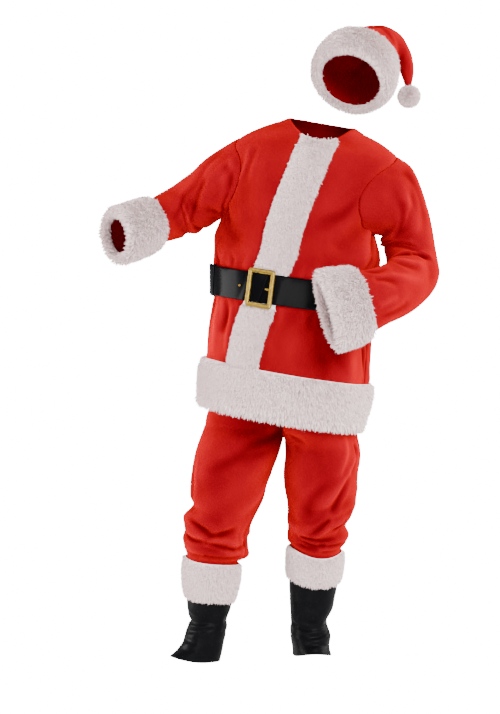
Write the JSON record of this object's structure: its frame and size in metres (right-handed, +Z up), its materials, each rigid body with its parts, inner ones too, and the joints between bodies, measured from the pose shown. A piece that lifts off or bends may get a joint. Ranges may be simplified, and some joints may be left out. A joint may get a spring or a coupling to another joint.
{
  "type": "santa suit",
  "caption": "Worn-form festive costume set: belted red velour jacket with plush bands, gathered trousers, boot tops with plush cuffs, and a floppy hat with plush brim and pompom.",
  "frame": {"origin": "middle of the neck's base, where the jacket hangs from the wearer's shoulders", "axes": "+Z up along the standing wearer, -Y to the wearer's front, +X to the wearer's left"},
  "size_m": [0.8665, 0.489, 1.666],
  "materials": {
    "red_velour": "brushed pile with a soft sheen",
    "white_plush": "long soft pile",
    "belt_vinyl": "glossy coated vinyl",
    "boot_vinyl": "matt coated vinyl",
    "antique_gold": "antiqued, lightly grained"
  },
  "bodies": {
    "root": {"jacket_front_right": "red_velour", "jacket_front_left": "red_velour", "jacket_back": "red_velour", "sleeve_right": "red_velour", "sleeve_left": "red_velour", "plush_front_band": "white_plush", "plush_hem_band": "white_plush", "plush_cuff_right": "white_plush", "plush_cuff_left": "white_plush", "belt_strap": "belt_vinyl", "belt_free_end": "belt_vinyl", "belt_keeper": "belt_vinyl", "belt_buckle": "antique_gold", "belt_prong": "antique_gold", "belt_rivet": "antique_gold", "trouser_front_right": "red_velour", "trouser_front_left": "red_velour", "trouser_back_right": "red_velour", "trouser_back_left": "red_velour", "boot_top_right": "boot_vinyl", "boot_top_left": "boot_vinyl", "plush_boot_right": "white_plush", "plush_boot_left": "white_plush", "hat_cone": "red_velour", "hat_brim": "white_plush", "hat_pompom": "white_plush"}
  },
  "joints": []
}
